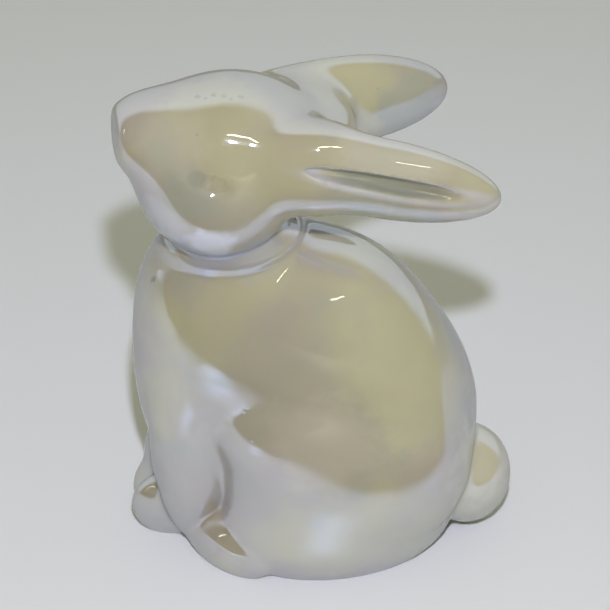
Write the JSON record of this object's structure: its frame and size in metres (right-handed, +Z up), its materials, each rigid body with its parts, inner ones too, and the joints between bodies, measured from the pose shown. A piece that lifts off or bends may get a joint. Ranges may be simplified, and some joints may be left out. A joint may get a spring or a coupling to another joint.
{
  "type": "hare figurine",
  "caption": "Small seated hare sculpture in pearl-glazed earthenware, with long ears laid back, a lifted muzzle and a round tail.",
  "frame": {"origin": "on the ground, under the middle of the figure's own box", "axes": "+Z up; the hare sits facing -X with its tail towards +X, and its left side, which the head is turned towards, faces -Y"},
  "size_m": [0.0774, 0.0516, 0.1044],
  "materials": {
    "pearl_glaze": "smooth pearl lustre glaze over white earthenware"
  },
  "bodies": {
    "root": {"hare": "pearl_glaze"}
  },
  "joints": []
}
